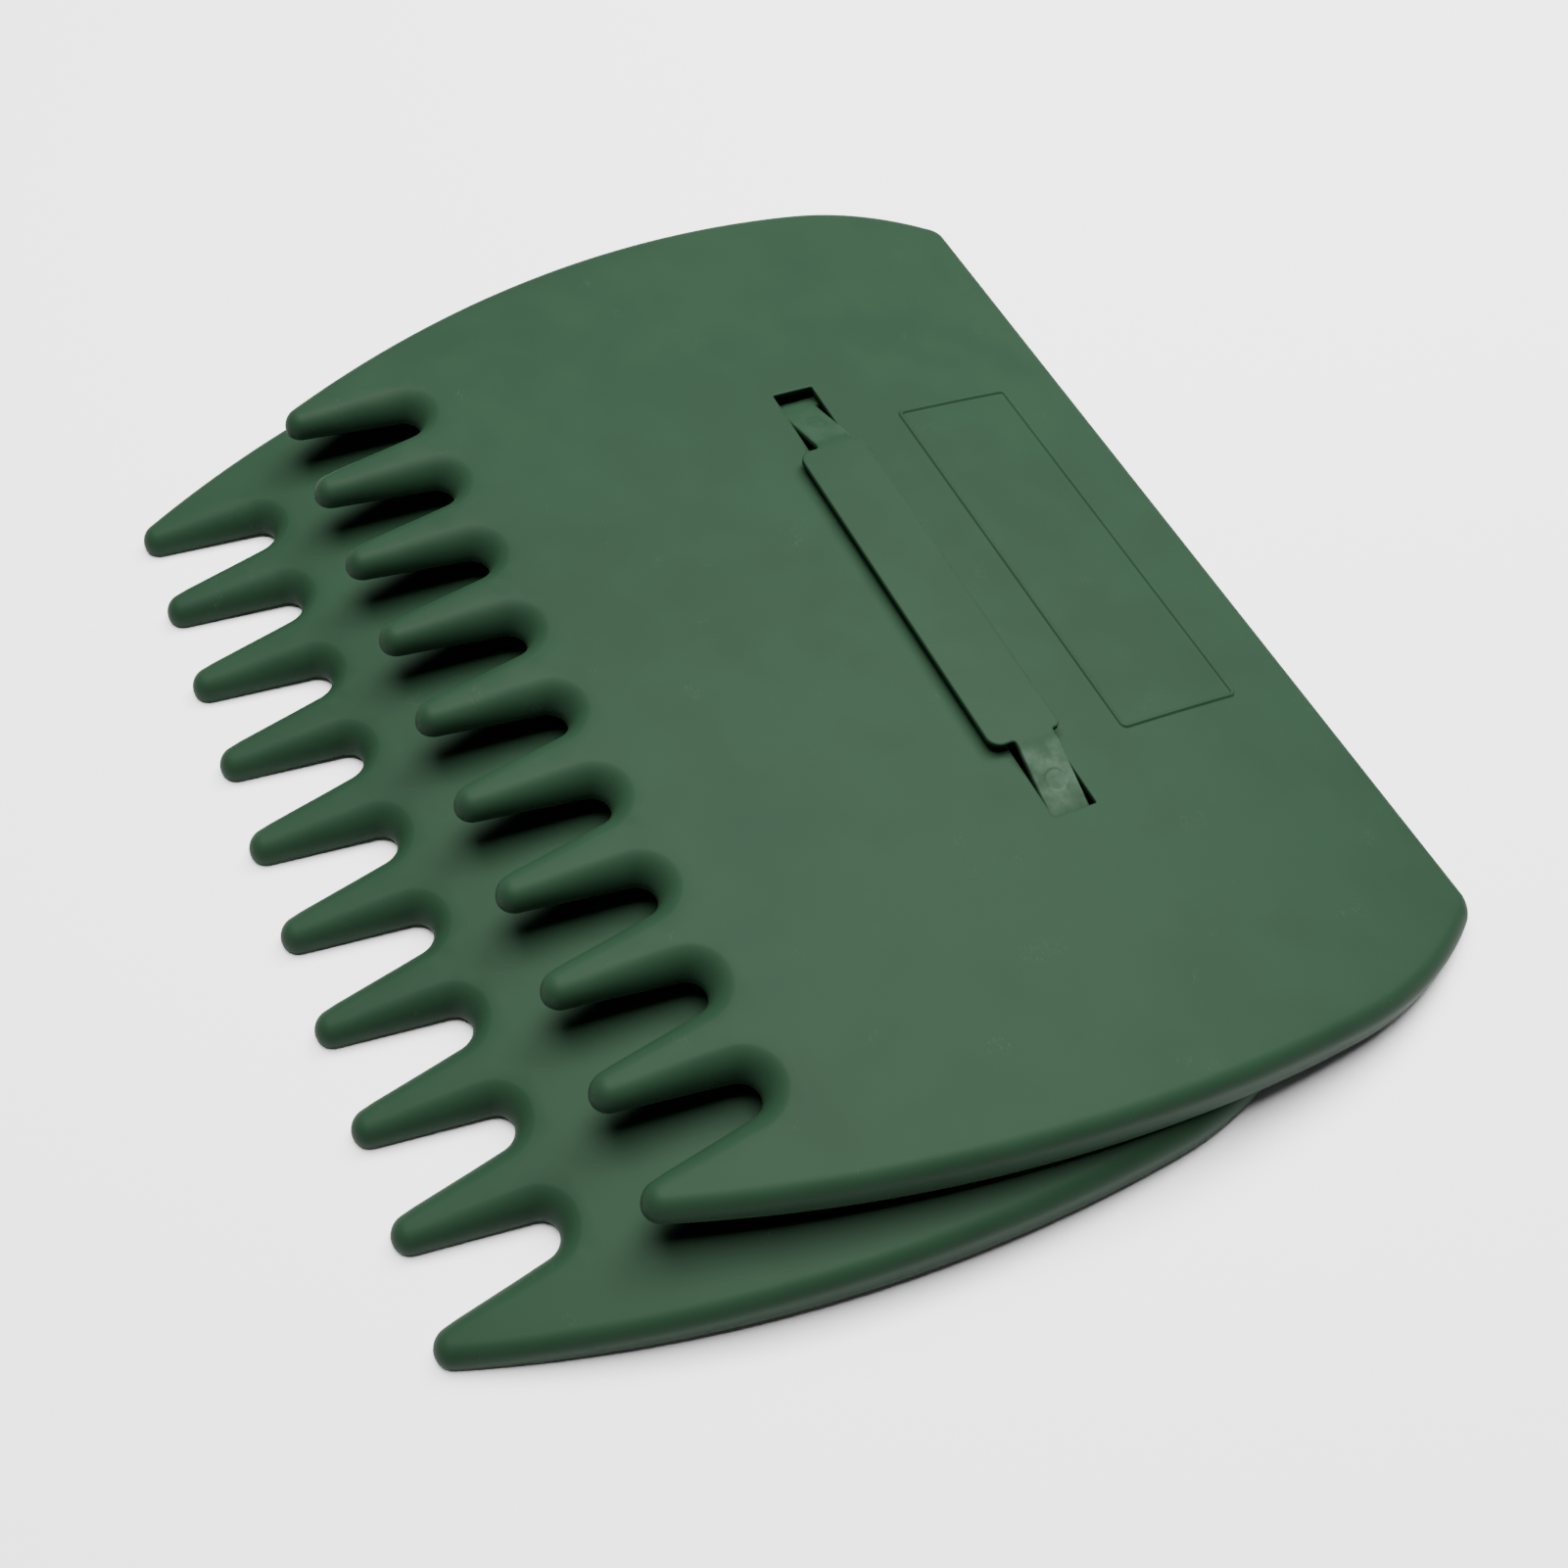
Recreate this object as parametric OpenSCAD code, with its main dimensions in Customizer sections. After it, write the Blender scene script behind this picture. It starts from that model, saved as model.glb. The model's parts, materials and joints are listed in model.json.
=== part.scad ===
// A pair of leaf grabber hands: two equal toothed scoops, one lying on the other, hollow side down.
// The origin is the middle of the lower scoop's rear rim, on the surface that it rests on.
// +X runs along the teeth, +Y from the teeth to the rear, +Z up.

/* [Scoop outline] */
// Number of teeth
tooth_count = 10; // [8:2:12]
// Distance between neighbouring teeth
tooth_pitch = 32; // [26:0.5:36]
// Radius of a tooth's tip
tooth_tip_r = 5.3; // [4.5:0.1:7]
// Radius of the round end of a gap
gap_root_r = 5.8; // [3:0.1:7]
// Distance from the tip centres to the gap end centres
gap_depth = 28.4; // [20:0.1:45]
// How far the outer teeth sit behind the middle ones
tooth_bow = 1.2; // [0:0.1:6]
// Length from the middle tooth tips to the rear edge
scoop_length = 247; // [200:1:320]
// Radius of a bulging side
side_arc_r = 422; // [380:1:600]
// Radius of a shoulder, where a side turns in to the rear
shoulder_r = 98; // [70:1:120]
// Distance of a shoulder's centre from the middle
shoulder_x = 79.4; // [60:0.1:100]
// Distance of a shoulder's centre from the rear edge
shoulder_back = 60.2; // [45:0.1:70]
// Radius of a rear corner
rear_corner_r = 9; // [6:0.5:20]

/* [Scoop section] */
// Thickness of the moulding
wall = 2.2; // [1.6:0.1:3]
// Height of the crown's highest line
crown_height = 16.4; // [13:0.1:26]
// Height of the top over the tooth tips
tip_height = 7.4; // [5:0.1:9]
// Height of the top at the rear
rear_height = 8.4; // [6:0.1:11]
// Rise of the rim's lower edge at half length
rim_arch = 2.9; // [0:0.1:5]
// Width of the rounded top edge at the gaps
gap_edge_width = 9.6; // [5:0.1:9.9]
// Width of the rounded top edge along the sides
side_edge_width = 5; // [4:0.1:8]
// Width of the rounded top edge along the rear
rear_edge_width = 3; // [2.4:0.1:5]
// Height of the rounded top edge
edge_drop = 5.3; // [3:0.1:6.4]

/* [Label panel] */
// Length of the label panel
label_length = 140; // [60:1:180]
// Depth of the label panel
label_depth = 41; // [20:1:50]
// Distance of the panel's middle from the rear edge
label_back = 44; // [35:1:60]
// Width of the raised line round the panel
line_width = 1.2; // [0.6:0.1:2]
// Height of the raised line round the panel
line_height = 0.4; // [0.2:0.1:0.8]

/* [Hand strap] */
// Distance of the slots' middle from the rear edge
strap_back = 92.9; // [75:0.1:120]
// How far the band sits in front of the slots
band_offset = 2.1; // [0:0.1:5]
// Distance of a fold line from the strap's middle
fold_x = 63.5; // [50:0.5:66]
// How far the strap has slid to one side in its slots
strap_slide = 3; // [0:0.1:3.5]
// Width of the band
band_width = 22.5; // [16:0.5:34]
// Radius of the band's corners
band_corner_r = 4; // [1:0.5:7]
// Gap under the band
band_gap = 2; // [1:0.1:4]
// Thickness of the strap
strap_thick = 2.2; // [1.5:0.1:3]
// Width of an end tab
tab_width = 12.4; // [8:0.1:14]
// Clearance on each side of a tab in its slot
slot_clear = 0.8; // [0.4:0.1:2]
// Distance of a slot's inner end from the middle
slot_start_x = 62.5; // [55:0.5:64]
// Distance of a slot's outer end from the middle
slot_end_x = 89.8; // [87:0.1:95]
// Width of a tab's anchor head
head_width = 20; // [16:0.5:26]
// Length of a tab's anchor head
head_length = 6; // [4:0.5:9]

/* [Stack] */
// How far the upper scoop lies behind the lower one
stack_shift = 55; // [40:1:80]
// How far the upper scoop lies to one side
stack_side = -6.5; // [-10:0.5:10]
// Turn of the upper scoop on the lower one
stack_yaw = 0.8; // [-2:0.1:2]
// Clearance where the upper scoop rests
stack_gap = 0.3; // [0.2:0.1:1]

/* [Hidden] */

leaf_green = "#4b6c54";
strap_green = "#55765e";

// Fineness of the outline and of the rounded edge
tip_steps = 5;
root_steps = 8;
side_steps = 16;
shoulder_steps = 8;
corner_steps = 4;
outer_steps = 5;
inner_steps = 3;
// Fineness of the long crown
crown_fn = 720;
round_fn = 48;
// How the plate laps into the rim: sideways, and below the rim's skin
lap = 0.3;
skin_step = 0.1;
// Half width left on a tooth's ridge
ridge = 0.6;
// Clearance round the strap's folds and under the plate
fold_gap = 0.3;
head_gap = 0.5;
// More than any cut needs
over = 5;

rear_y = wall / 2;
tip_y = rear_y - scoop_length + tooth_tip_r;
outer_x = (tooth_count - 1) / 2 * tooth_pitch;
mid_y = rear_y - scoop_length / 2;
strap_y = rear_y - strap_back;
label_y = rear_y - label_back;
slot_width = tab_width + 2 * slot_clear;

// The crown is one long arc: from its highest line it falls to the tips and to the rear
tip_fall = sqrt(2 * (crown_height - tip_height));
rear_fall = sqrt(2 * (crown_height - rear_height));
crown_r = pow((rear_y - tip_y) / (tip_fall + rear_fall), 2);
crown_y = rear_y - rear_fall * sqrt(crown_r);

// The rounded edge narrows where a tooth is too slim for it, and sinks less where the rim is low
gap_edge = min(gap_edge_width, tooth_pitch / 2 - gap_root_r - ridge);
function sink(y) = min(edge_drop, 0.8 * (top_z(y) - bottom_z(y)));

// Height of the top and of the rim's lower edge at a place y
function top_z(y) = crown_height - crown_r + sqrt(crown_r * crown_r - (y - crown_y) * (y - crown_y));
function bottom_z(y) = rim_arch * max(0, 1 - pow((y - mid_y) / (scoop_length / 2), 2));
function between(a, b, part) = a + (b - a) * part;
function polar(r, a) = [r * cos(a), r * sin(a)];
function angle_to(v) = atan2(v[1], v[0]);
function arc(c, r, a0, a1, steps) = [for (i = [0:steps]) c + polar(r, between(a0, a1, i / steps))];

// Centres of the tooth tips and of the gap ends
function bow(x) = tooth_bow * pow(x / outer_x, 2);
function tip_centre(k) = let (x = k * tooth_pitch - outer_x) [x, tip_y + bow(x)];
function gap_centre(k) = let (x = (k + 0.5) * tooth_pitch - outer_x) [x, tip_y + gap_depth + bow(x)];
shoulder_centre = [shoulder_x, rear_y - shoulder_back];
corner_centre = [
    shoulder_x + sqrt(pow(shoulder_r - rear_corner_r, 2) - pow(shoulder_back - rear_corner_r, 2)),
    rear_y - rear_corner_r];

// Centre of the arc of radius r that runs round circle (a, ra) and circle (b, rb)
function arc_centre(a, ra, b, rb, r) =
    let (d = norm(b - a), u = (b - a) / d, m = (pow(r - ra, 2) - pow(r - rb, 2) + d * d) / (2 * d))
    a + m * u + sqrt(pow(r - ra, 2) - m * m) * [-u[1], u[0]];
side_centre = arc_centre(tip_centre(tooth_count - 1), tooth_tip_r, shoulder_centre, shoulder_r, side_arc_r);

// Direction of a tooth's flank from the tip circle to the gap circle
function flank(tip, gap, tip_r, gap_r, turn) =
    angle_to(gap - tip) + turn * asin((tip_r + gap_r) / norm(gap - tip));

// The outline, counter-clockwise from the left outer tooth, moved inwards by its own amount
// at the tips, at the gaps, along the sides and along the rear
function outline(at_tips, at_gaps, at_sides, at_rear) =
    let (tr = tooth_tip_r - at_tips, gr = gap_root_r + at_gaps, hr = shoulder_r - at_sides)
    let (sr = side_arc_r - at_sides, last = tooth_count - 1)
    let (sc = arc_centre(tip_centre(last), tr, shoulder_centre, hr, sr))
    let (low = angle_to(tip_centre(last) - sc), high = angle_to(shoulder_centre - sc))
    let (turn = angle_to(corner_centre - shoulder_centre))
    let (teeth = [for (k = [0:last]) let (
            left = k == 0 ? 180 - low : flank(tip_centre(k), gap_centre(k - 1), tr, gr, -1) + 90,
            right = k == last ? low : flank(tip_centre(k), gap_centre(k), tr, gr, 1) - 90,
            next = k == last ? 0 : flank(tip_centre(k + 1), gap_centre(k), tr, gr, -1) - 90)
        concat(
            arc(tip_centre(k), tr, left, right + 360, tip_steps),
            k == last ? [] : arc(gap_centre(k), gr, right + 180, next, root_steps))])
    let (right_side = concat(
        [for (i = [1:side_steps]) sc + polar(sr, between(low, high, i / side_steps))],
        [for (i = [1:shoulder_steps])
            shoulder_centre + polar(hr, between(high, turn, i / shoulder_steps))],
        [for (i = [1:corner_steps]) let (part = i / corner_steps)
            corner_centre + polar(rear_corner_r - between(at_sides, at_rear, part), between(turn, 90, part))]))
    concat(
        [for (tooth = teeth) each tooth],
        right_side,
        [for (i = [len(right_side) - 1:-1:0]) [-right_side[i][0], right_side[i][1]]]);

// One cross-section of the rim, from the outer lower edge over the top to the inner lower edge
function section(edge, face, crest) =
    let (foot = bottom_z(edge[1]))
    concat(
        [[edge[0], edge[1], foot]],
        [for (i = [0:outer_steps])
            let (a = 90 * i / outer_steps, p = between(edge, crest, 1 - cos(a)))
            [p[0], p[1], top_z(p[1]) - sink(edge[1]) * (1 - sin(a))]],
        [for (i = [inner_steps:-1:0])
            let (a = 90 * i / inner_steps, p = between(face, crest, 1 - cos(a)))
            [p[0], p[1], top_z(p[1]) - wall - (sink(edge[1]) - wall) * (1 - sin(a))]],
        [[face[0], face[1], foot]]);

module rim() {
    edge = outline(0, 0, 0, 0);
    face = outline(wall, wall, wall, wall);
    crest = outline(tooth_tip_r - ridge, gap_edge, side_edge_width, rear_edge_width);
    stations = len(edge);
    sections = [for (i = [0:stations - 1]) section(edge[i], face[i], crest[i])];
    around = len(sections[0]);
    polyhedron(
        points = [for (s = sections) each s],
        faces = [for (i = [0:stations - 1]) for (j = [0:around - 1])
            let (here = i * around, there = (i + 1) % stations * around, up = (j + 1) % around)
            [here + j, here + up, there + up, there + j]]);
}

module crown(r, r_fn = crown_fn) {
    translate([0, crown_y, crown_height - crown_r])
        rotate([0, 90, 0])
            cylinder(r = r, h = 4 * outer_x, center = true, $fn = r_fn);
}

module plate() {
    difference() {
        intersection() {
            linear_extrude(crown_height + over)
                polygon(outline(tooth_tip_r - ridge - lap, gap_edge - lap,
                                side_edge_width - lap, rear_edge_width - lap));
            crown(crown_r - skin_step);
        }
        crown(crown_r - wall + skin_step);
    }
}

module slots() {
    for (side = [-1, 1])
        translate([side * (slot_start_x + slot_end_x) / 2, strap_y, crown_height])
            cube([slot_end_x - slot_start_x, slot_width, 4 * over], center = true);
}

module label_line() {
    difference() {
        intersection() {
            translate([-label_length / 2, label_y - label_depth / 2, 0])
                cube([label_length, label_depth, crown_height + over]);
            crown(crown_r + line_height);
        }
        translate([line_width - label_length / 2, label_y - label_depth / 2 + line_width, -over])
            cube([label_length - 2 * line_width, label_depth - 2 * line_width, crown_height + 3 * over]);
        crown(crown_r - wall / 2);
    }
}

module scoop() {
    color(leaf_green) difference() {
        union() {
            rim();
            plate();
            label_line();
        }
        slots();
    }
}

// The strap lies along X: a raised band, and a tab at each end that slopes down through its slot
fold_z = crown_height + band_gap + strap_thick / 2;
plate_under = min(top_z(strap_y - head_width / 2), top_z(strap_y + head_width / 2)) - wall;
tab_drop = fold_z - plate_under + head_gap + 0.6 * strap_thick;
tab_reach = slot_end_x - fold_x - strap_slide;
tab_slope = atan(tab_drop / tab_reach);
head_start = (tab_reach + head_gap) / cos(tab_slope);

module strap_band() {
    half = fold_x - strap_thick / 2 - fold_gap;
    y = strap_y - band_offset;
    inner_x = half - band_corner_r;
    inner_y = band_width / 2 - band_corner_r;
    color(strap_green)
        translate([strap_slide, y, crown_height + band_gap])
            linear_extrude(strap_thick) {
                square([2 * half, 2 * inner_y], center = true);
                square([2 * inner_x, band_width], center = true);
                for (sx = [-1, 1], sy = [-1, 1])
                    translate([sx * inner_x, sy * inner_y])
                        circle(r = band_corner_r, $fn = round_fn);
            }
}

module tab() {
    color(strap_green)
        translate([fold_x, strap_y, fold_z])
            rotate([0, tab_slope, 0]) {
                rotate([90, 0, 0])
                    cylinder(d = strap_thick, h = tab_width, center = true, $fn = round_fn);
                translate([0, -tab_width / 2, -strap_thick / 2])
                    cube([head_start + head_length, tab_width, strap_thick]);
                translate([head_start, -head_width / 2, -strap_thick / 2])
                    cube([head_length, head_width, strap_thick]);
            }
}

module right_tab() {
    translate([strap_slide, 0, 0]) tab();
}

module left_tab() {
    translate([strap_slide, 0, 0]) mirror([1, 0, 0]) tab();
}

// How steeply the upper scoop lies: its rear rim is on the ground and its sides rest on the lower scoop
function edge_sink(d) =
    d >= side_edge_width ? 0 : edge_drop * (1 - sqrt(1 - pow(1 - d / side_edge_width, 2)));
function placed(p) = [
    stack_side + p[0] * cos(stack_yaw) - p[1] * sin(stack_yaw),
    stack_shift + p[0] * sin(stack_yaw) + p[1] * cos(stack_yaw)];
function cover(p) =
    let (q = [abs(p[0]), p[1]])
    angle_to(q - side_centre) > high_angle ? shoulder_r - norm(q - shoulder_centre)
                                           : side_arc_r - norm(q - side_centre);
function slope_at(p) =
    let (q = placed(p), d = cover(q))
    d <= 0 || q[1] > corner_centre[1] ? 0
    : (top_z(q[1]) - edge_sink(d) + stack_gap - bottom_z(p[1])) / (rear_y - p[1]);
low_angle = angle_to(tip_centre(tooth_count - 1) - side_centre);
high_angle = angle_to(shoulder_centre - side_centre);
side_line = concat(
    arc(side_centre, side_arc_r, low_angle, high_angle, 8 * side_steps),
    arc(side_centre, side_arc_r - wall, low_angle, high_angle, 8 * side_steps));
stack_tilt = asin(max([for (p = side_line, side = [-1, 1]) slope_at([side * p[0], p[1]])]));

module on_stack() {
    translate([stack_side, stack_shift, stack_gap])
        rotate([-stack_tilt, 0, stack_yaw])
            children();
}

module lower_scoop() { scoop(); }
module lower_strap_band() { strap_band(); }
module lower_strap_left_tab() { left_tab(); }
module lower_strap_right_tab() { right_tab(); }
module upper_scoop() { on_stack() scoop(); }
module upper_strap_band() { on_stack() strap_band(); }
module upper_strap_left_tab() { on_stack() left_tab(); }
module upper_strap_right_tab() { on_stack() right_tab(); }

lower_scoop();
lower_strap_band();
lower_strap_left_tab();
lower_strap_right_tab();
upper_scoop();
upper_strap_band();
upper_strap_left_tab();
upper_strap_right_tab();
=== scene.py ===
import json
import math

import bmesh
import bpy
import numpy as np
from mathutils import Matrix, Vector
from mathutils.geometry import delaunay_2d_cdt


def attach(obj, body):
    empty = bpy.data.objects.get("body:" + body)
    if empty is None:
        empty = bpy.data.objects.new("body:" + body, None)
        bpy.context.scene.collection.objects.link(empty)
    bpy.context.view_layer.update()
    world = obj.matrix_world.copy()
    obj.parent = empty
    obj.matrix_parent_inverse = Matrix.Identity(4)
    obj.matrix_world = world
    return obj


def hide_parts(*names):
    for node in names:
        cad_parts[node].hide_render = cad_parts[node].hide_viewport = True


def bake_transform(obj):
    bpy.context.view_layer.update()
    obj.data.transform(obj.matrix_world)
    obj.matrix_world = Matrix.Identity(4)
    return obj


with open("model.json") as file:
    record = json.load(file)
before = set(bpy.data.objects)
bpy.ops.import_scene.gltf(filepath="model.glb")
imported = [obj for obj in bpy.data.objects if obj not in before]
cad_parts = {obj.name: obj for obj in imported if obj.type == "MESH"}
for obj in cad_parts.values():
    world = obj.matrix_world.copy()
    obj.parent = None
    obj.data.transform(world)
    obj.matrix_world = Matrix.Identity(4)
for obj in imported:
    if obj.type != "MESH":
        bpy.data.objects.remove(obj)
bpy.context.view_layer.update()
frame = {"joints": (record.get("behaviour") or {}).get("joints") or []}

MM = 0.001

# ---------------------------------------------------------------- sizes in millimetres
TEETH = 10
PITCH = 32.0
TIP_R = 5.3
GAP_R = 5.8
GAP_DEPTH = 28.4
TOOTH_BOW = 1.2
LENGTH = 247.0
SIDE_R = 422.0
SHOULDER_R = 98.0
SHOULDER_X = 79.4
SHOULDER_BACK = 60.2
CORNER_R = 9.0
WALL = 2.2
CROWN_HEIGHT = 16.4
TIP_HEIGHT = 7.4
REAR_HEIGHT = 8.4
RIM_ARCH = 2.9
GAP_EDGE = 6.6
SIDE_EDGE = 5.0
REAR_EDGE = 3.0
EDGE_DROP = 5.3  # height of the rounded edge at the sides and the rear
GAP_DROP = 7.6  # and at the gaps
GAP_SLANT = 0.3  # 0 is a full round at the gaps, 1 a straight slope
RIDGE = 0.6  # half the width of the flat ridge along a tooth
SOFT = 0.45  # how far the small edges are rounded

LABEL_LENGTH = 140.0
LABEL_DEPTH = 41.0
LABEL_BACK = 44.0
LABEL_CORNER_R = 2.0
# the line's cross-section: how far out from the panel's size, and how far above the plate
LINE_PROFILE = [
    (0.6, 0), (0.22, 0), (0.1, 0.08), (-0.2, 0.62), (-0.36, 0.7), (-0.6, 0.72),
    (-0.84, 0.7), (-1.0, 0.62), (-1.3, 0.08), (-1.42, 0), (-1.8, 0),
]

STRAP_BACK = 92.9
BAND_OFFSET = 2.1
FOLD_X = 63.5
STRAP_SLIDE = 3.0
BAND_WIDTH = 22.5
BAND_CORNER_R = 4.0
BAND_GAP = 2.0
STRAP_THICK = 2.2
STRAP_SOFT = 0.5
JOINT_GAP = 0.3
TAB_WIDTH = 12.4
SLOT_WIDTH = 14.0
SLOT_START_X = 62.5
SLOT_END_X = 89.8
SLOT_CORNER_R = 0.4
SLOT_SOFT = 0.3
HEAD_WIDTH = 20.0
HEAD_LENGTH = 6.0
HEAD_GAP = 0.5
HEAD_CORNER_R = 1.4
NECK_R = 0.7
NOTCH_R = 0.9
REAR_NOTCH_R = 0.54
BAND_REAR_R = 2.0
FOLD_SOFT = 2.2  # half the length over which the strap bends
EJECTOR_U = 76.2  # the round ejector mark on each tab
EJECTOR_R = 3.4
EJECTOR_DEPTH = 0.14

REAR_Y = WALL / 2
TIP_Y = REAR_Y - LENGTH + TIP_R
OUTER_X = (TEETH - 1) / 2 * PITCH
MID_Y = REAR_Y - LENGTH / 2
STRAP_Y = REAR_Y - STRAP_BACK
LABEL_Y = REAR_Y - LABEL_BACK
SHOULDER = np.array([SHOULDER_X, REAR_Y - SHOULDER_BACK])
CORNER = np.array([
    SHOULDER_X + math.sqrt((SHOULDER_R - CORNER_R) ** 2 - (SHOULDER_BACK - CORNER_R) ** 2),
    REAR_Y - CORNER_R,
])
TIP_FALL = math.sqrt(2 * (CROWN_HEIGHT - TIP_HEIGHT))
REAR_FALL = math.sqrt(2 * (CROWN_HEIGHT - REAR_HEIGHT))
CROWN_R = ((REAR_Y - TIP_Y) / (TIP_FALL + REAR_FALL)) ** 2
CROWN_Y = REAR_Y - REAR_FALL * math.sqrt(CROWN_R)
FOLD_Z = CROWN_HEIGHT + BAND_GAP + STRAP_THICK / 2

# how finely the outline is walked
TIP_STEPS = 14
GAP_STEPS = 18
FLANK_STEPS = 8
SIDE_STEPS = 56
SHOULDER_STEPS = 30
CORNER_STEPS = 14
REAR_STEPS = 40
ROUND_STEPS = 12
SLOT_STEPS = (14, 7)
LABEL_STEPS = (40, 12)
# how finely the plates are divided
SCOOP_GRID = 6.0
BAND_GRID = 4.0
TAB_GRID = 1.1
TAB_GRID_START = 56
GRID_CLEAR = 0.8
SMOOTH_ANGLE = 50


def top_z(y):
    return CROWN_HEIGHT - CROWN_R + np.sqrt(CROWN_R**2 - (y - CROWN_Y) ** 2)


def bottom_z(y):
    return RIM_ARCH * np.maximum(0, 1 - ((y - MID_Y) / (LENGTH / 2)) ** 2)


# ---------------------------------------------------------------- the scoop's outline
def polar(radius, angle):
    return radius * np.array([math.cos(angle), math.sin(angle)])


def heading(v):
    return math.atan2(v[1], v[0])


def arc(centre, radius, a0, a1, steps):
    return [centre + polar(radius, a0 + (a1 - a0) * i / steps) for i in range(steps + 1)]


def between(a, b, steps):
    """The points inside a straight run, without its ends."""
    return [a + (b - a) * i / steps for i in range(1, steps)]


def bow(x):
    return TOOTH_BOW * (x / OUTER_X) ** 2


def tip_centre(k):
    x = k * PITCH - OUTER_X
    return np.array([x, TIP_Y + bow(x)])


def gap_centre(k):
    x = (k + 0.5) * PITCH - OUTER_X
    return np.array([x, TIP_Y + GAP_DEPTH + bow(x)])


def side_circle(tip_r, shoulder_r, side_r):
    """Centre of the long side arc that runs round the outer tooth tip and the shoulder."""
    a = tip_centre(TEETH - 1)
    d = np.linalg.norm(SHOULDER - a)
    u = (SHOULDER - a) / d
    m = ((side_r - tip_r) ** 2 - (side_r - shoulder_r) ** 2 + d * d) / (2 * d)
    return a + m * u + math.sqrt((side_r - tip_r) ** 2 - m * m) * np.array([-u[1], u[0]])


def flank(tip, gap, tip_r, gap_r, turn):
    return heading(gap - tip) + turn * math.asin((tip_r + gap_r) / np.linalg.norm(gap - tip))


def outline(at_tips=0.0, at_gaps=0.0, at_sides=0.0, at_rear=0.0):
    """The edge from above, moved inwards by its own amount at tips, gaps, sides and rear."""
    tip_r, gap_r = TIP_R - at_tips, GAP_R + at_gaps
    shoulder_r, side_r = SHOULDER_R - at_sides, SIDE_R - at_sides
    last = TEETH - 1
    centre = side_circle(tip_r, shoulder_r, side_r)
    low, high = heading(tip_centre(last) - centre), heading(SHOULDER - centre)
    turn = heading(CORNER - SHOULDER)
    points = []
    for k in range(TEETH):
        left = math.pi - low
        if k > 0:
            left = flank(tip_centre(k), gap_centre(k - 1), tip_r, gap_r, -1) + math.pi / 2
        right = low
        if k < last:
            right = flank(tip_centre(k), gap_centre(k), tip_r, gap_r, 1) - math.pi / 2
        points += arc(tip_centre(k), tip_r, left, right + 2 * math.pi, TIP_STEPS)
        if k < last:
            ahead = flank(tip_centre(k + 1), gap_centre(k), tip_r, gap_r, -1) - math.pi / 2
            gap = arc(gap_centre(k), gap_r, right + math.pi, ahead, GAP_STEPS)
            points += between(points[-1], gap[0], FLANK_STEPS) + gap
            opening = flank(tip_centre(k + 1), gap_centre(k), tip_r, gap_r, -1) + math.pi / 2
            points += between(gap[-1], tip_centre(k + 1) + polar(tip_r, opening), FLANK_STEPS)
    side = arc(centre, side_r, low, high, SIDE_STEPS)[1:-1]
    side += arc(SHOULDER, shoulder_r, high, turn, SHOULDER_STEPS)
    for i in range(1, CORNER_STEPS + 1):
        part = i / CORNER_STEPS
        inset = at_sides + (at_rear - at_sides) * part
        side.append(CORNER + polar(CORNER_R - inset, turn + (math.pi / 2 - turn) * part))
    mirrored = [np.array([-p[0], p[1]]) for p in reversed(side)]
    points += side + between(side[-1], mirrored[0], REAR_STEPS) + mirrored
    return np.array(points)


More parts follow.
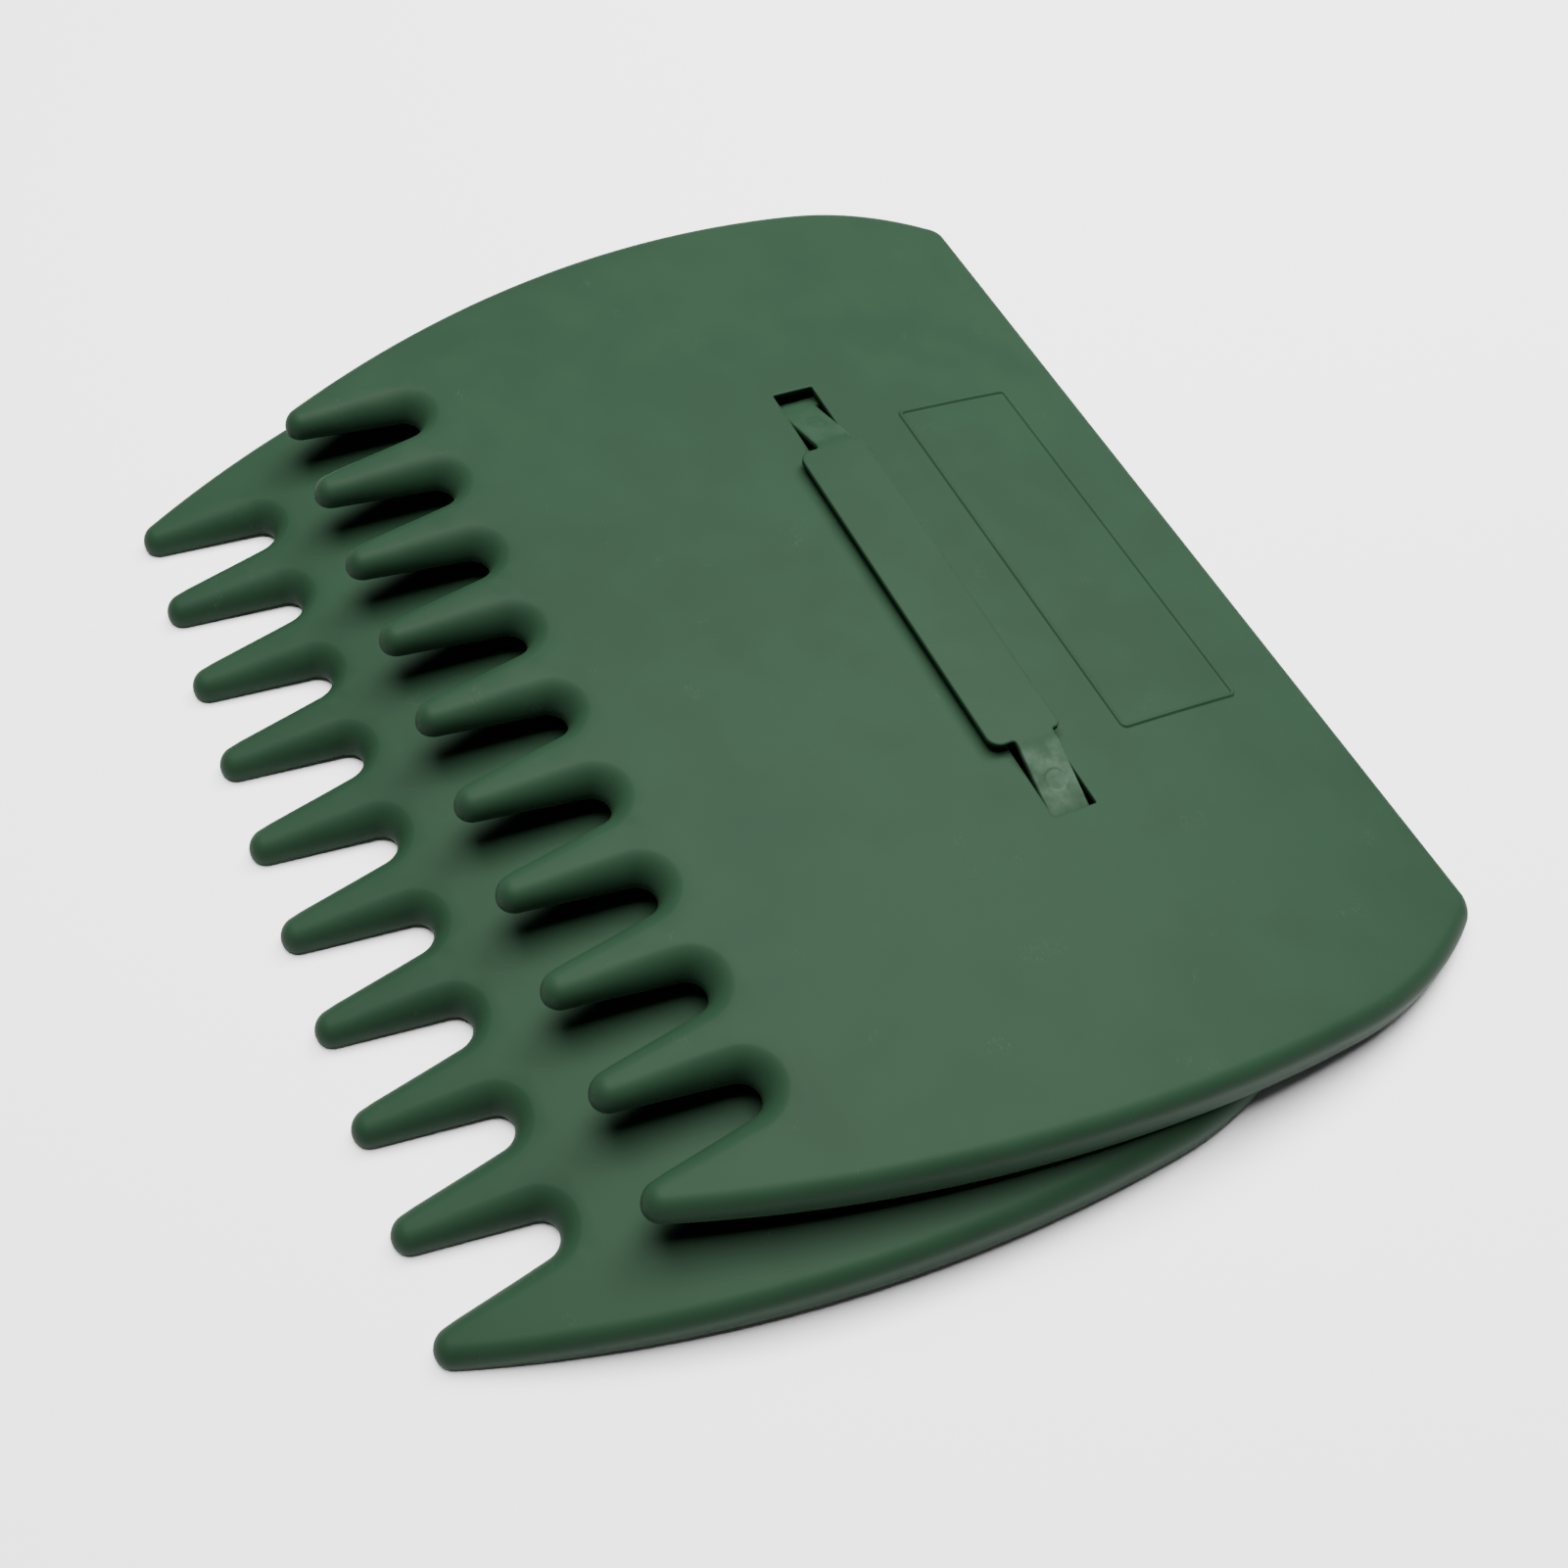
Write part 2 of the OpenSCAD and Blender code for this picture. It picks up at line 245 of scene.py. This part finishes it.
# ---------------------------------------------------------------- skins
class Skin:
    """A closed skin under construction. Points are in millimetres in the piece's own frame."""

    def __init__(self):
        self.points = []
        self.faces = []

    def loop(self, points):
        first = len(self.points)
        self.points += [tuple(float(c) for c in p) for p in points]
        return list(range(first, len(self.points)))

    def strip(self, low, high, closed=True):
        """Quads between two runs of points of equal length."""
        n = len(low)
        for i in range(n if closed else n - 1):
            j = (i + 1) % n
            self.faces.append((low[i], low[j], high[j], high[i]))

    def wrap(self, loops):
        """Quads over a row of closed loops; gives back the first and the last."""
        for low, high in zip(loops, loops[1:]):
            self.strip(low, high)
        return loops[0], loops[-1]

    def fill(self, border, holes, grid, height):
        """Triangles inside a border and outside its holes, on a grid of points at a height."""
        rings = [border, *holes]
        used = [i for ring in rings for i in ring]
        flat = np.array([self.points[i][:2] for i in used])
        edges, start = [], 0
        for ring in rings:
            n = len(ring)
            edges += [(start + i, start + (i + 1) % n) for i in range(n)]
            start += n
        outer, *inners = [np.array([self.points[i][:2] for i in ring]) for ring in rings]

        def kept(points):
            found = inside(points, outer)
            for hole in inners:
                found &= ~inside(points, hole)
            return found

        grid = grid[kept(grid)]
        near = np.full(len(grid), np.inf)
        for point in flat:
            near = np.minimum(near, np.linalg.norm(grid - point, axis=1))
        both = np.vstack([flat, grid[near > GRID_CLEAR]])
        verts, _, triangles, origins, _, _ = delaunay_2d_cdt(
            [Vector(p) for p in both], edges, [], 0, 1e-7
        )
        verts = np.array([tuple(v) for v in verts])
        names = []
        for i, source in enumerate(origins):
            first = source[0] if source else -1
            if 0 <= first < len(used):
                names.append(used[first])
            else:
                x, y = verts[i]
                names += self.loop([(x, y, height(x, y))])
        middles = np.array([verts[list(t)].mean(0) for t in triangles])
        for triangle, keep in zip(triangles, kept(middles)):
            if keep:
                self.faces.append(tuple(names[i] for i in triangle))

    def mesh(self, name, placing, flat_places=None):
        data = bpy.data.meshes.new(name)
        points = [placing @ (Vector(p) * MM) for p in self.points]
        data.from_pydata(points, [], self.faces)
        if flat_places is not None:
            kept = data.attributes.new("flat_place", "FLOAT_VECTOR", "POINT")
            kept.data.foreach_set("vector", np.ravel(flat_places).astype(np.float32))
        work = bmesh.new()
        work.from_mesh(data)
        bmesh.ops.remove_doubles(work, verts=work.verts, dist=1e-7)
        bmesh.ops.recalc_face_normals(work, faces=work.faces)
        for face in work.faces:
            face.smooth = True
        for edge in work.edges:
            bend = edge.calc_face_angle(0)
            if len(edge.link_faces) == 2 and bend > math.radians(SMOOTH_ANGLE):
                edge.smooth = False
        work.to_mesh(data)
        work.free()
        return data


def inside(points, polygon):
    """Which points lie inside a closed polygon."""
    x, y = points[:, 0], points[:, 1]
    found = np.zeros(len(points), bool)
    a, b = polygon, np.roll(polygon, -1, axis=0)
    for (x0, y0), (x1, y1) in zip(a, b):
        if y0 == y1:
            continue
        crosses = (y0 > y) != (y1 > y)
        found ^= crosses & (x < (x1 - x0) * (y - y0) / (y1 - y0) + x0)
    return found


def grid_points(x0, x1, y0, y1, step):
    xs = np.arange(x0, x1 + step / 2, step)
    ys = np.arange(y0, y1 + step / 2, step)
    gx, gy = np.meshgrid(xs, ys)
    gx[::2] += step / 2
    return np.stack([gx.ravel(), gy.ravel()], 1)


def rounded_box(cx, cy, half_x, half_y, radius, steps_x, steps_y, steps_corner=5):
    """A rectangle with round corners, walked anticlockwise with a fixed count of points."""
    ix, iy = half_x - radius, half_y - radius
    corners = [(ix, -iy, -90), (ix, iy, 0), (-ix, iy, 90), (-ix, -iy, 180)]
    points = []
    for n, (x, y, a) in enumerate(corners):
        a = math.radians(a)
        corner = arc(np.array([cx + x, cy + y]), radius, a, a + math.pi / 2, steps_corner)
        nx, ny, na = corners[(n + 1) % 4]
        following = np.array([cx + nx, cy + ny]) + polar(radius, math.radians(na))
        points += corner + between(corner[-1], following, steps_y if n % 2 == 0 else steps_x)
    return np.array(points)


def on_top(points, above=0.0):
    return [(x, y, top_z(y) + above) for x, y in points]


# ---------------------------------------------------------------- shader maths
class Wire:
    """A node socket that can be added, multiplied and so on. Numbers on either side are fine."""

    def __init__(self, tree, socket):
        self.tree = tree
        self.socket = socket

    def node(self, kind, settings=None, out=0, **sockets):
        """Adds any node: its settings first, then the values or links of its sockets."""
        made = self.tree.nodes.new(kind)
        for key, value in (settings or {}).items():
            setattr(made, key, value)
        for key, value in sockets.items():
            self.feed(made.inputs[key], value)
        return Wire(self.tree, made.outputs[out])

    def feed(self, target, value):
        """Links a wire into a socket, or sets the socket to a plain value."""
        if isinstance(value, Wire):
            self.tree.links.new(value.socket, target)
        else:
            target.default_value = value

    def maths(self, operation, *terms, clamp=False):
        made = self.tree.nodes.new("ShaderNodeMath")
        made.operation = operation
        made.use_clamp = clamp
        for target, value in zip(made.inputs, terms):
            self.feed(target, value)
        return Wire(self.tree, made.outputs[0])

    def __add__(self, other):
        return self.maths("ADD", self, other)

    __radd__ = __add__

    def __sub__(self, other):
        return self.maths("SUBTRACT", self, other)

    def __rsub__(self, other):
        return self.maths("SUBTRACT", other, self)

    def __mul__(self, other):
        return self.maths("MULTIPLY", self, other)

    __rmul__ = __mul__

    def __truediv__(self, other):
        return self.maths("DIVIDE", self, other)

    def __abs__(self):
        return self.maths("ABSOLUTE", self)

    def clamped(self):
        return self.maths("ADD", self, 0.0, clamp=True)

    def step(self, low, high):
        """0 below low, 1 above high, smooth in between; low above high turns it round."""
        flip = low > high
        low, high = min(low, high), max(low, high)
        t = ((self - low) / (high - low)).clamped()
        t = t * t * (3 - 2 * t)
        return 1 - t if flip else t

    def mixed(self, a, b):
        """A colour that goes from a to b as this value goes from 0 to 1."""
        made = self.tree.nodes.new("ShaderNodeMix")
        made.data_type = "RGBA"
        factor, first, second = made.inputs[0], made.inputs[6], made.inputs[7]
        for target, value in ((factor, self), (first, a), (second, b)):
            self.feed(target, value)
        return Wire(self.tree, made.outputs[2])


def srgb(r, g, b):
    """A colour stated as 0 to 255 in each channel."""
    return (*(((c / 255 + 0.055) / 1.055) ** 2.4 for c in (r, g, b)), 1.0)


class Finish:
    """One moulded plastic: its node tree, its places and its shader."""

    def __init__(self, name):
        self.material = bpy.data.materials.new(name)
        self.material.use_nodes = True
        self.tree = self.material.node_tree
        self.tree.nodes.clear()
        self.start = Wire(self.tree, None)
        self.shader = self.tree.nodes.new("ShaderNodeBsdfPrincipled")
        output = self.tree.nodes.new("ShaderNodeOutputMaterial")
        self.tree.links.new(self.shader.outputs[0], output.inputs["Surface"])

    def object_place(self):
        return self.start.node("ShaderNodeTexCoord", out="Object")

    def flat_place(self):
        return self.start.node(
            "ShaderNodeAttribute", {"attribute_name": "flat_place"}, out="Vector"
        )

    def apart(self, place):
        made = self.tree.nodes.new("ShaderNodeSeparateXYZ")
        self.tree.links.new(place.socket, made.inputs[0])
        return [Wire(self.tree, made.outputs[i]) for i in range(3)]

    def noise(self, place, per_metre, detail=2.0, roughness=0.5):
        return self.start.node(
            "ShaderNodeTexNoise",
            Vector=place,
            Scale=per_metre,
            Detail=detail,
            Roughness=roughness,
        )

    def bump(self, height, strength, distance, under=None):
        below = {} if under is None else {"Normal": under}
        return self.start.node(
            "ShaderNodeBump", Height=height, Strength=strength, Distance=distance, **below
        )

    def finish(self, colour, roughness, normal, **constants):
        for name, wire in (("Base Color", colour), ("Roughness", roughness), ("Normal", normal)):
            self.tree.links.new(wire.socket, self.shader.inputs[name])
        for name, value in constants.items():
            self.shader.inputs[name.replace("_", " ")].default_value = value
        return self.material


# ---------------------------------------------------------------- the two plastics
LEAF_GREEN = srgb(27, 48, 33)
DEEP_GREEN = srgb(25, 45, 31)
PALE_GREEN = srgb(52, 72, 57)
CHALKY = srgb(78, 96, 82)
GRAIN_PER_METRE = 2600.0
PLASTIC_IOR = 1.49
PLASTIC_SHEEN = 0.06


def scuffs(finish, place, per_metre, keep_above):
    """Short pale rub marks: stretched noise that only shows in rare patches."""
    patches = finish.noise(place, per_metre * 0.12, 1.0).step(keep_above, keep_above + 0.06)
    strokes = finish.start.node(
        "ShaderNodeMapping", {"vector_type": "POINT"}, Vector=place, Scale=(1.0, 3.5, 1.0),
        Rotation=(0.0, 0.0, 0.6),
    )
    lines = finish.noise(strokes, per_metre, 4.0, 0.65).step(0.56, 0.68)
    return patches * lines


def make_scoop_plastic():
    """Polypropylene with a fine spark-eroded grain, dyed leaf green."""
    finish = Finish("scoop_plastic")
    place = finish.object_place()
    cloud = finish.noise(place, 14.0, 3.0, 0.55)
    flow = finish.noise(place, 55.0, 2.0)
    tone = (cloud * 0.7 + flow * 0.3).step(0.36, 0.64)
    colour = tone.mixed(DEEP_GREEN, LEAF_GREEN)
    rubbed = scuffs(finish, place, 700.0, 0.66)
    colour = (rubbed * 0.35).mixed(colour, PALE_GREEN)
    grain = finish.noise(place, GRAIN_PER_METRE, 2.0, 0.6)
    waves = finish.noise(place, 38.0, 1.0)
    normal = finish.bump(waves, 0.25, 0.0006)
    normal = finish.bump(grain, 0.22, 0.00006, normal)
    roughness = 0.52 + 0.08 * cloud - 0.06 * rubbed
    return finish.finish(
        colour, roughness, normal, IOR=PLASTIC_IOR, Specular_IOR_Level=PLASTIC_SHEEN
    )


def make_strap_plastic():
    """The same plastic, a little glossier, gone chalky where it is bent at the folds."""
    finish = Finish("strap_plastic")
    place = finish.flat_place()
    along, across, _ = finish.apart(place)
    cloud = finish.noise(place, 26.0, 3.0, 0.55)
    tone = cloud.step(0.35, 0.65)
    colour = tone.mixed(DEEP_GREEN, LEAF_GREEN)
    reach = abs(along)
    bent_zone = reach.step(FOLD_X * MM, 0.0672) * reach.step(0.0905, 0.080)
    streak = finish.noise(place, 160.0, 3.0, 0.6).step(0.30, 0.72)
    chalk = bent_zone * (0.25 + 0.75 * streak) * (0.25 + 0.75 * along.step(-0.01, 0.01))
    colour = (chalk * 0.36).mixed(colour, CHALKY)
    grain = finish.noise(place, GRAIN_PER_METRE, 2.0, 0.6)
    waves = finish.noise(place, 60.0, 1.0)
    normal = finish.bump(waves, 0.3, 0.0005)
    normal = finish.bump(grain, 0.16, 0.00005, normal)
    roughness = 0.5 + 0.08 * cloud - 0.05 * chalk
    return finish.finish(
        colour, roughness, normal, IOR=PLASTIC_IOR, Specular_IOR_Level=PLASTIC_SHEEN
    )


scoop_plastic = make_scoop_plastic()
strap_plastic = make_strap_plastic()

# ---------------------------------------------------------------- the scoop
def edge_drop(y, most, share):
    """The height of the rounded edge: its own size, or a share of the wall if that is low."""
    return np.minimum(most, share * (top_z(y) - bottom_z(y)))


def rim_loops(skin):
    """The rim from the top crest over the outside and the lower edge to the crest underneath."""
    edge = outline()
    face = outline(WALL, WALL, WALL, WALL)
    gap_edge = min(GAP_EDGE, PITCH / 2 - GAP_R - RIDGE)
    crest = outline(TIP_R - RIDGE, gap_edge, SIDE_EDGE, REAR_EDGE)
    foot = bottom_z(edge[:, 1])
    breadth = np.linalg.norm(crest - edge, axis=1)
    at_gap = np.clip((breadth - SIDE_EDGE) / (gap_edge - SIDE_EDGE), 0, 1) ** 0.6
    slant = GAP_SLANT * at_gap
    side_drop = edge_drop(edge[:, 1], EDGE_DROP, 0.8)
    drop = side_drop + (edge_drop(edge[:, 1], GAP_DROP, 0.85) - side_drop) * at_gap
    loops = []

    def rounded(part):
        """How far out and down the edge has come; part is 1 at the crest and 0 at the wall."""
        a = math.pi / 2 * part
        out = 1 - math.cos(a) + (part - 1 + math.cos(a)) * slant
        down = 1 - math.sin(a) + (math.sin(a) - part) * slant
        return out[:, None], down

    def add(plan, height):
        loops.append(skin.loop(np.column_stack([plan, height])))

    for i in range(ROUND_STEPS, -1, -1):
        out, down = rounded(i / ROUND_STEPS)
        plan = edge + (crest - edge) * out
        add(plan, top_z(plan[:, 1]) - drop * down)
    wall_top = top_z(edge[:, 1]) - drop
    for part in (0.8, 0.4):
        add(edge, foot + (wall_top - foot) * part)
    add(edge, foot + SOFT)
    inwards = (face - edge) / WALL
    add(edge + inwards * SOFT * 0.3, foot + SOFT * 0.3)
    add(edge + inwards * SOFT, foot)
    add(face - inwards * SOFT, foot)
    add(face - inwards * SOFT * 0.3, foot + SOFT * 0.3)
    add(face, foot + SOFT)
    inner_steps = ROUND_STEPS // 2
    for i in range(inner_steps + 1):
        out, down = rounded(i / inner_steps)
        plan = face + (crest - face) * out
        add(plan, top_z(plan[:, 1]) - WALL - (drop - WALL) * down)
    return skin.wrap(loops)


def slot_loops(skin, side):
    """One strap slot: its softened upper edge, its wall and its lower edge."""
    cx = side * (SLOT_START_X + SLOT_END_X) / 2
    half_x, half_y = (SLOT_END_X - SLOT_START_X) / 2, SLOT_WIDTH / 2
    soft = SLOT_SOFT
    upper = [(1.0, 0), (soft, 0), (0.3 * soft, -0.3 * soft), (0, -soft)]
    lower = [(0, soft - WALL), (soft, -WALL), (1.0, -WALL)]
    loops = []
    for out, above in upper + lower:
        plan = rounded_box(
            cx, STRAP_Y, half_x + out, half_y + out, SLOT_CORNER_R + out, *SLOT_STEPS
        )
        loops.append(skin.loop(on_top(plan, above)))
    return skin.wrap(loops)


def label_loops(skin):
    """The thin raised line round the blank label panel."""
    half_x, half_y = LABEL_LENGTH / 2, LABEL_DEPTH / 2
    loops = []
    for out, above in LINE_PROFILE:
        plan = rounded_box(
            0, LABEL_Y, half_x + out, half_y + out, LABEL_CORNER_R + out, *LABEL_STEPS
        )
        loops.append(skin.loop(on_top(plan, above)))
    return skin.wrap(loops)


def plate_height(x, y):
    return float(top_z(y))


def plate_under(x, y):
    return float(top_z(y)) - WALL


def show(name, mesh, material):
    shown = bpy.data.objects.new(name, mesh)
    bpy.context.scene.collection.objects.link(shown)
    mesh.materials.append(material)
    return shown


def make_scoop(name, body, placing):
    skin = Skin()
    crest, crest_under = rim_loops(skin)
    slots = [slot_loops(skin, side) for side in (-1, 1)]
    line_outer, line_inner = label_loops(skin)
    grid = grid_points(-180, 180, TIP_Y - 4, REAR_Y - 4, SCOOP_GRID)
    skin.fill(crest, [slot[0] for slot in slots] + [line_outer], grid, plate_height)
    skin.fill(line_inner, [], grid, plate_height)
    skin.fill(crest_under, [slot[1] for slot in slots], grid, plate_under)
    scoop = show(name, skin.mesh(name, placing), scoop_plastic)
    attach(scoop, body)
    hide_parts(body)


# ---------------------------------------------------------------- the hand strap
PLATE_UNDER = min(top_z(STRAP_Y - HEAD_WIDTH / 2), top_z(STRAP_Y + HEAD_WIDTH / 2)) - WALL
TAB_DROP = FOLD_Z - PLATE_UNDER + HEAD_GAP + 0.6 * STRAP_THICK
TAB_REACH = SLOT_END_X - FOLD_X - STRAP_SLIDE
TAB_SLOPE = math.atan(TAB_DROP / TAB_REACH)
HEAD_START = FOLD_X + (TAB_REACH + HEAD_GAP) / math.cos(TAB_SLOPE)
HEAD_END = HEAD_START + HEAD_LENGTH
BAND_END = FOLD_X - STRAP_THICK / 2 - JOINT_GAP
BAND_FRONT = -BAND_OFFSET - BAND_WIDTH / 2
BAND_REAR = -BAND_OFFSET + BAND_WIDTH / 2


def bent(u, v, w):
    """A place on the flat strap, u along, v across and w up, carried onto the folded strap."""
    radius = FOLD_SOFT / math.tan(TAB_SLOPE / 2)
    start = FOLD_X - FOLD_SOFT
    turn = min(max((u - start) / radius, 0), TAB_SLOPE)
    x = min(u, start) + radius * math.sin(turn)
    z = -radius * (1 - math.cos(turn))
    beyond = max(u - start - radius * TAB_SLOPE, 0)
    x += beyond * math.cos(turn) + w * math.sin(turn)
    z += -beyond * math.sin(turn) + w * math.cos(turn)
    return x, STRAP_Y + v, FOLD_Z + z


def corner_arc(cx, cy, radius, a0, a1, steps):
    return arc(np.array([cx, cy]), radius, math.radians(a0), math.radians(a1), steps)


def strap_edge():
    """The flat outline of half a strap, from the middle of its front edge to its rear edge."""
    tab, head = TAB_WIDTH / 2, HEAD_WIDTH / 2
    front_r, rear_r = BAND_CORNER_R, BAND_REAR_R
    notch, rear_notch, neck, h = NOTCH_R, REAR_NOTCH_R, NECK_R, HEAD_CORNER_R
    runs = [
        [np.array([0.0, BAND_FRONT])],
        corner_arc(BAND_END - front_r, BAND_FRONT + front_r, front_r, -90, 0, 10),
        corner_arc(BAND_END + notch, -tab - notch, notch, 180, 90, 7),
        corner_arc(HEAD_START - neck, -tab - neck, neck, 90, 0, 4),
        corner_arc(HEAD_START + h, -head + h, h, 180, 270, 5),
        corner_arc(HEAD_END - h, -head + h, h, -90, 0, 5),
        corner_arc(HEAD_END - h, head - h, h, 0, 90, 5),
        corner_arc(HEAD_START + h, head - h, h, 90, 180, 5),
        corner_arc(HEAD_START - neck, tab + neck, neck, 0, -90, 4),
        corner_arc(BAND_END + rear_notch, tab + rear_notch, rear_notch, 270, 180, 5),
        corner_arc(BAND_END - rear_r, BAND_REAR - rear_r, rear_r, 0, 90, 6),
        [np.array([0.0, BAND_REAR])],
    ]
    points = []
    for run in runs:
        if points:
            length = float(np.linalg.norm(run[0] - points[-1]))
            points += between(points[-1], run[0], max(1, round(length / 1.2)))
        points += run
    return np.array(points)


def drawn_in(path, amount):
    """The open outline moved inwards, with its two cut ends kept on the cut."""
    before = np.vstack([[path[0] - (1, 0)], path[:-1]])
    after = np.vstack([path[1:], [path[-1] - (1, 0)]])
    a, b = path - before, after - path
    a /= np.linalg.norm(a, axis=1)[:, None]
    b /= np.linalg.norm(b, axis=1)[:, None]
    na, nb = np.column_stack([-a[:, 1], a[:, 0]]), np.column_stack([-b[:, 1], b[:, 0]])
    n = na + nb
    n /= (n**2).sum(1)[:, None] / 2
    return path + n * amount


def ejector_mark(skin, flat):
    """A shallow round dent on the tab; gives back its outer ring and its floor's ring."""
    profile = [(0.35, 0), (0, 0), (-0.12, -0.07), (-0.35, -0.13), (-0.8, -EJECTOR_DEPTH)]
    rings = []
    for out, above in profile:
        plan = arc(np.array([EJECTOR_U, 0.0]), EJECTOR_R + out, 0, 2 * math.pi, 36)[:-1]
        rings.append(skin.loop([(p[0], p[1], flat + above) for p in plan]))
    return skin.wrap(rings)


def flat_half_strap():
    """Half a strap before it is bent, closed by a face at the middle of the band."""
    edge = strap_edge()
    skin = Skin()
    flat = STRAP_THICK / 2
    soft = STRAP_SOFT
    under = [(2 * soft, 0), (soft, 0), (0.3 * soft, 0.3 * soft), (0, soft)]
    profile = [(inset, w - flat) for inset, w in under]
    profile += [(inset, flat - w) for inset, w in reversed(under)]
    runs = []
    for inset, w in profile:
        plan = drawn_in(edge, inset)
        runs.append(skin.loop(np.column_stack([plan, np.full(len(plan), w)])))
    for low, high in zip(runs, runs[1:]):
        skin.strip(low, high, closed=False)
    skin.faces.append(tuple(run[0] for run in runs) + tuple(run[-1] for run in reversed(runs)))
    mark, mark_floor = ejector_mark(skin, flat)
    head = HEAD_WIDTH / 2
    coarse = grid_points(2, TAB_GRID_START, BAND_FRONT, BAND_REAR, BAND_GRID)
    fine = grid_points(TAB_GRID_START, HEAD_END, -head, head, TAB_GRID)
    beside = grid_points(TAB_GRID_START, 61, BAND_FRONT, -head, TAB_GRID)
    grid = np.vstack([coarse, fine, beside])
    skin.fill(runs[-1], [mark], grid, lambda x, y: flat)
    skin.fill(mark_floor, [], fine, lambda x, y: flat - EJECTOR_DEPTH)
    skin.fill(runs[0], [], grid, lambda x, y: -flat)
    return skin


def make_half_strap(name, band_body, tab_body, side, placing):
    skin = flat_half_strap()
    flat_places = np.array([(side * u, v, w) for u, v, w in skin.points]) * MM
    skin.points = [
        (STRAP_SLIDE + side * x, y, z) for x, y, z in (bent(*p) for p in skin.points)
    ]
    strap = show(name, skin.mesh(name, placing, flat_places), strap_plastic)
    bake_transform(strap)
    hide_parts(band_body, tab_body)


# ---------------------------------------------------------------- the pair
def stacked_place():
    """Where the upper scoop lies, from the joints that carry its strap."""
    joints = {joint["name"]: joint for joint in frame["joints"]}
    up = Vector(joints["upper_strap_lift"]["axis"]).normalized()
    back = Vector(joints["upper_strap_right_fold"]["axis"]).normalized()
    turn = Matrix((back.cross(up), back, up)).transposed()
    fold = Vector((STRAP_SLIDE + FOLD_X, STRAP_Y, FOLD_Z)) * MM
    shift = Vector(joints["upper_strap_right_fold"]["pos_m"]) - turn @ fold
    return Matrix.Translation(shift) @ turn.to_4x4()


for layer, placing in (("lower", Matrix.Identity(4)), ("upper", stacked_place())):
    make_scoop(f"{layer}_scoop_shell", f"{layer}_scoop", placing)
    for hand, side in (("left", -1), ("right", 1)):
        make_half_strap(
            f"{layer}_strap_{hand}_half",
            f"{layer}_strap_band",
            f"{layer}_strap_{hand}_tab",
            side,
            placing,
        )


# ---------------------------------------------------------------- floor, light and camera
FLOOR_Z = -0.0002
WORLD_STRENGTH = 0.06
CAMERA_BACK = Vector((0.50232, -0.22349, 0.8353)).normalized()
CAMERA_AIM = Vector((0.03285, -0.09832, 0.010))
CAMERA_DISTANCE = 0.5348
CAMERA_ROLL = math.radians(-1.075)
CAMERA_LENS = 42.37
LIGHT_AIM = Vector((0.0, -0.09, 0.0))


def make_floor():
    """A broad pale sheet that the scoops lie on."""
    finish = Finish("pale_floor")
    place = finish.object_place()
    tone = finish.noise(place, 3.0, 2.0)
    colour = tone.mixed((0.90, 0.90, 0.90, 1.0), (0.92, 0.92, 0.92, 1.0))
    grain = finish.noise(place, 900.0, 2.0)
    finish.finish(colour, 0.75 + 0.1 * tone, finish.bump(grain, 0.05, 0.0001))
    sheet = bmesh.new()
    bmesh.ops.create_grid(sheet, x_segments=8, y_segments=8, size=3.0)
    data = bpy.data.meshes.new("floor")
    sheet.to_mesh(data)
    sheet.free()
    floor = bpy.data.objects.new("floor", data)
    floor.location.z = FLOOR_Z
    bpy.context.scene.collection.objects.link(floor)
    data.materials.append(finish.material)


def soft_light(name, azimuth, elevation, distance, size, power):
    """A square soft light; azimuth 0 is in front of the teeth and 90 on the right."""
    a, e = math.radians(azimuth), math.radians(elevation)
    towards = Vector((math.sin(a) * math.cos(e), -math.cos(a) * math.cos(e), math.sin(e)))
    lamp = bpy.data.lights.new(name, "AREA")
    lamp.shape = "SQUARE"
    lamp.size = size
    lamp.energy = power
    holder = bpy.data.objects.new(name, lamp)
    holder.location = LIGHT_AIM + towards * distance
    holder.rotation_euler = (-towards).to_track_quat("-Z", "Y").to_euler()
    bpy.context.scene.collection.objects.link(holder)


def make_camera():
    """Looks down on the near right corner of the pair."""
    back = CAMERA_BACK
    level_right = Vector((-back.y, back.x, 0)).normalized()
    level_up = back.cross(level_right)
    right = level_right * math.cos(CAMERA_ROLL) + level_up * math.sin(CAMERA_ROLL)
    up = back.cross(right)
    lens = bpy.data.cameras.new("camera")
    lens.lens = CAMERA_LENS
    lens.sensor_width = 36.0
    lens.clip_start = 0.01
    lens.clip_end = 50.0
    camera = bpy.data.objects.new("camera", lens)
    turn = Matrix((right, up, back)).transposed()
    place = CAMERA_AIM + back * CAMERA_DISTANCE
    camera.matrix_world = Matrix.Translation(place) @ turn.to_4x4()
    bpy.context.scene.collection.objects.link(camera)
    bpy.context.scene.camera = camera


def make_world():
    world = bpy.data.worlds.new("studio")
    world.use_nodes = True
    backdrop = world.node_tree.nodes["Background"]
    backdrop.inputs["Color"].default_value = (1.0, 1.0, 1.0, 1.0)
    backdrop.inputs["Strength"].default_value = WORLD_STRENGTH
    bpy.context.scene.world = world


make_floor()
make_world()
make_camera()
soft_light("key", azimuth=205, elevation=50, distance=1.4, size=0.6, power=26.0)
soft_light("overhead", azimuth=255, elevation=78, distance=1.7, size=1.3, power=108.0)
